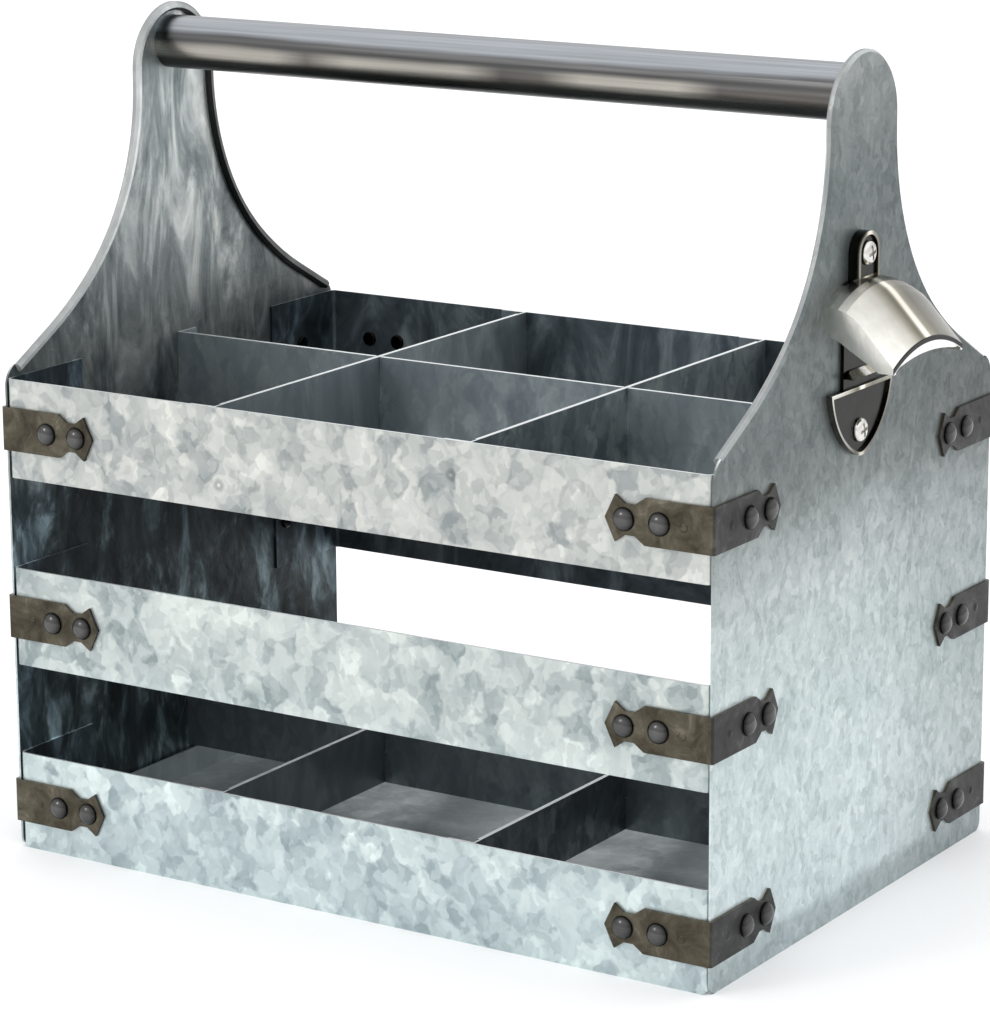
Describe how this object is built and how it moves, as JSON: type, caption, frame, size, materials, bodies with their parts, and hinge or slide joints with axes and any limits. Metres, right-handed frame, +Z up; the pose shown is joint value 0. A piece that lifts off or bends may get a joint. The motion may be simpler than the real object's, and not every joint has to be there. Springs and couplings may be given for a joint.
{
  "type": "bottle caddy",
  "caption": "Carrier of galvanised sheet with shaped end panels, a tube handle, slatted sides, divider strips and a bottle opener on one end.",
  "frame": {"origin": "middle of the base, at the floor, centred between the end panels and between the front and back slats", "axes": "+X along the handle towards the end panel that carries the opener, +Y from the front slats to the back slats, +Z up"},
  "size_m": [0.3533, 0.2306, 0.3305],
  "materials": {
    "galvanised_panel": "satin spangled zinc",
    "galvanised_slat": "satin spangled zinc",
    "galvanised_divider": "satin zinc",
    "galvanised_pan": "satin zinc",
    "handle_steel": "polished",
    "bracket_bronze": "satin bronze-brown",
    "rivet_steel": "dull",
    "opener_nickel": "satin nickel plate",
    "screw_steel": "bright"
  },
  "bodies": {
    "root": {"end_panel_right": "galvanised_panel", "end_panel_left": "galvanised_panel", "handle_tube": "handle_steel", "slat_bottom_front": "galvanised_slat", "slat_bottom_back": "galvanised_slat", "corner_brackets_bottom": "bracket_bronze", "slat_middle_front": "galvanised_slat", "slat_middle_back": "galvanised_slat", "corner_brackets_middle": "bracket_bronze", "slat_top_front": "galvanised_slat", "slat_top_back": "galvanised_slat", "corner_brackets_top": "bracket_bronze", "bracket_rivets": "rivet_steel", "divider_upper_long": "galvanised_divider", "divider_upper_left": "galvanised_divider", "divider_upper_right": "galvanised_divider", "divider_lower_long": "galvanised_divider", "divider_lower_left": "galvanised_divider", "divider_lower_right": "galvanised_divider", "base_pan": "galvanised_pan", "bottle_opener": "opener_nickel", "opener_screws": "screw_steel", "opener_nuts": "screw_steel"}
  },
  "joints": []
}
